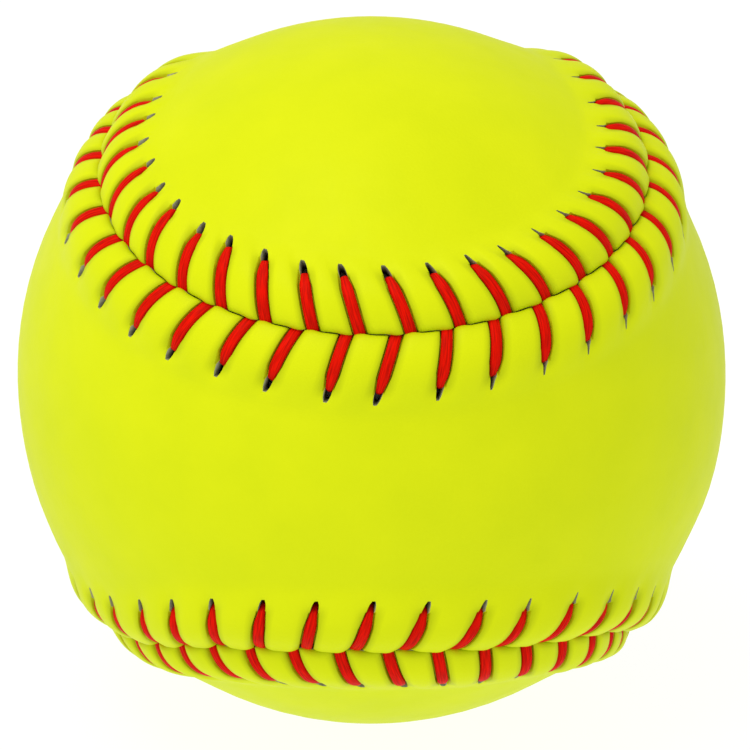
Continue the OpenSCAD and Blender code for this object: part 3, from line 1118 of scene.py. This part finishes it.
@dataclass(frozen=True)
class DriedCement:
    """Contact cement, brushed on and dried. It gives the eye a tan film with streaks."""

    name: str = "dried_contact_cement"
    colour: str = "#a08a5c"
    streak: str = "#6a5634"
    streak_w: float = 1.2 * MM
    streak_h: float = 0.08 * MM

    def make(self) -> bpy.types.Material:
        """Builds the material.

        Returns:
            The material.
        """
        material, tree = new_material(self.name)
        place = add_node(tree, "ShaderNodeTexCoord").outputs["Object"]
        brushed = add_node(tree, "ShaderNodeMapping", {"Scale": (1.0, 1.0, 0.2)}, {"Vector": place})
        bristles = {"Scale": 1 / self.streak_w, "Detail": 4.0}
        streaks = add_node(
            tree, "ShaderNodeTexNoise", bristles, {"Vector": brushed.outputs["Vector"]}
        )
        tints = {"data_type": "RGBA", 6: srgb(self.streak), 7: srgb(self.colour)}
        tone = add_node(tree, "ShaderNodeMix", tints, {0: streaks.outputs["Fac"]})
        streak_bump = {"Strength": 0.4, "Distance": self.streak_h}
        bump = add_node(tree, "ShaderNodeBump", streak_bump, {"Height": streaks.outputs["Fac"]})
        surface = {"Base Color": tone.outputs[2], "Normal": bump.outputs["Normal"]}
        shader = add_node(tree, "ShaderNodeBsdfPrincipled", {"Roughness": 0.6}, surface)
        add_node(tree, "ShaderNodeOutputMaterial", links={"Surface": shader.outputs["BSDF"]})
        return material


@dataclass
class Studio:
    """White sweep, soft light all round, and the long lens of the photograph."""

    floor_z: float = -48 * MM
    floor_w: float = 6.0
    azimuth: float = math.radians(-0.66)
    elevation: float = math.radians(21.2)
    roll: float = math.radians(0.06)
    distance: float = 0.576
    lens: float = 203.1
    sensor_w: float = 36.0
    clip_from: float = 0.01
    clip_to: float = 20.0
    shift_x: float = 0.0048
    shift_y: float = -0.0068
    world_strength: float = 0.64
    paper: str = "#6e6e6e"
    paper_glow: float = 0.9
    lamp: str = "#fff2dc"
    box_w: float = 0.5
    key_at: tuple[float, float, float] = (-0.25, -0.25, 0.95)
    key_power: float = 4.7
    fill_at: tuple[float, float, float] = (-0.55, -0.7, 0.35)
    fill_power: float = 0.8

    def place_camera(self) -> None:
        """Sets the camera at the photograph's angle."""
        data = bpy.data.cameras.new("camera")
        data.lens, data.sensor_width = self.lens, self.sensor_w
        data.shift_x, data.shift_y = self.shift_x, self.shift_y
        data.clip_start, data.clip_end = self.clip_from, self.clip_to
        camera = bpy.data.objects.new("camera", data)
        bpy.context.scene.collection.objects.link(camera)
        back = Vector(
            (
                math.sin(self.azimuth) * math.cos(self.elevation),
                -math.cos(self.azimuth) * math.cos(self.elevation),
                math.sin(self.elevation),
            )
        )
        right = Vector((0, 0, 1)).cross(back).normalized()
        up = back.cross(right)
        turn = Matrix((right, up, back)).transposed().to_4x4()
        roll = Matrix.Rotation(self.roll, 4, "Z")
        camera.matrix_world = Matrix.Translation(back * self.distance) @ turn @ roll
        bpy.context.scene.camera = camera

    def lay_floor(self) -> None:
        """Lays the plain white floor."""
        wipe_selection()
        bpy.ops.mesh.primitive_plane_add(size=self.floor_w, location=(0, 0, self.floor_z))
        floor = bpy.context.object
        floor.name = "floor"
        material, tree = new_material("white_paper_sweep")
        paper = {
            "Base Color": srgb(self.paper),
            "Roughness": 0.9,
            "Specular IOR Level": 0.1,
            "Emission Color": srgb("#ffffff"),
            "Emission Strength": self.paper_glow,
        }
        shader = add_node(tree, "ShaderNodeBsdfPrincipled", paper)
        add_node(tree, "ShaderNodeOutputMaterial", links={"Surface": shader.outputs["BSDF"]})
        floor.data.materials.append(material)

    def light(self) -> None:
        """Lights the ball with a white surround and two large soft boxes."""
        world = bpy.data.worlds.new("studio")
        world.use_nodes = True
        tree = world.node_tree
        tree.nodes.clear()
        white = {"Color": srgb("#ffffff"), "Strength": self.world_strength}
        glow = add_node(tree, "ShaderNodeBackground", white)
        add_node(tree, "ShaderNodeOutputWorld", links={"Surface": glow.outputs["Background"]})
        bpy.context.scene.world = world
        bpy.context.scene.view_settings.view_transform = "Standard"
        self.soft_box("key", Vector(self.key_at), self.key_power)
        self.soft_box("fill", Vector(self.fill_at), self.fill_power)

    def soft_box(self, name: str, place: Vector, power: float) -> None:
        """Hangs one square soft box, turned to the ball.

        Args:
            name: The light's name.
            place: Where it hangs.
            power: Its power in watts.
        """
        data = bpy.data.lights.new(name, "AREA")
        data.shape, data.size, data.energy = "SQUARE", self.box_w, power
        data.color = srgb(self.lamp)[:3]
        box = bpy.data.objects.new(name, data)
        bpy.context.scene.collection.objects.link(box)
        turn = place.to_track_quat("Z", "Y").to_matrix().to_4x4()
        box.matrix_world = Matrix.Translation(place) @ turn


@dataclass
class Softball:
    """The whole ball: panels, threads, and the core and cement that the solids give."""

    seam: Seam = field(default_factory=Seam)
    front_lean: float = math.radians(16)
    back_lean: float = math.radians(18)
    back_lead: float = 1.86 * MM
    front_end_shift: float = -0.4 * MM
    back_end_shift: float = 0.1 * MM
    front_seed: int = 11
    back_seed: int = 23

    def rows(self) -> dict[Side, StitchRow]:
        """Sets out the two rows of stitches.

        Returns:
            The row of each panel.
        """
        front = StitchRow(
            self.seam,
            Side.FRONT,
            self.front_lean,
            end_shift=self.front_end_shift,
            seed=self.front_seed,
        )
        back = StitchRow(
            self.seam,
            Side.BACK,
            self.back_lean,
            lead=self.back_lead,
            end_shift=self.back_end_shift,
            seed=self.back_seed,
        )
        return {Side.FRONT: front, Side.BACK: back}

    def build(self) -> None:
        """Builds and dresses every piece in order."""
        rows = self.rows()
        leather, raw, thread = CoatedLeather().make(), RawLeather().make(), WaxedThread().make()
        for side in Side:
            name = f"{side.name.lower()}_panel"
            panel = CoverPanel(name, rows[side]).build()
            panel.data.materials.append(leather)
            panel.data.materials.append(raw)
            self.adopt(panel, f"cover_{side.name.lower()}")
        for order, first in (("first", Side.FRONT), ("second", Side.BACK)):
            lace = LacingThread(f"{order}_lace", rows, first).build()
            lace.data.materials.append(thread)
            self.adopt(lace, f"thread_{order}")
        self.dress("core", CastFoam().make())
        cement = DriedCement().make()
        self.dress("cement_front", cement)
        self.dress("cement_back", cement)

    def adopt(self, piece: bpy.types.Object, node: str) -> None:
        """Lets a piece stand for a solid and ride with it.

        Args:
            piece: The finished piece.
            node: The solid's node.
        """
        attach(piece, "root")
        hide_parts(node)
        points, faces = len(piece.data.vertices), len(piece.data.polygons)
        log.info("%s: %d points, %d faces", piece.name, points, faces)

    def dress(self, node: str, material: bpy.types.Material) -> None:
        """Gives a solid that stays its material.

        Args:
            node: The solid's node.
            material: Its finish.
        """
        solid = frame["nodes"][node]
        solid.data.materials.clear()
        solid.data.materials.append(material)
        log.info("%s: dressed in %s", node, material.name)


def main() -> None:
    """Builds the studio and the ball."""
    logging.basicConfig(level=logging.INFO, format="%(name)s %(message)s")
    studio = Studio()
    studio.place_camera()
    studio.lay_floor()
    studio.light()
    log.info("studio: set up")
    Softball().build()


if __name__ == "__main__":
    main()
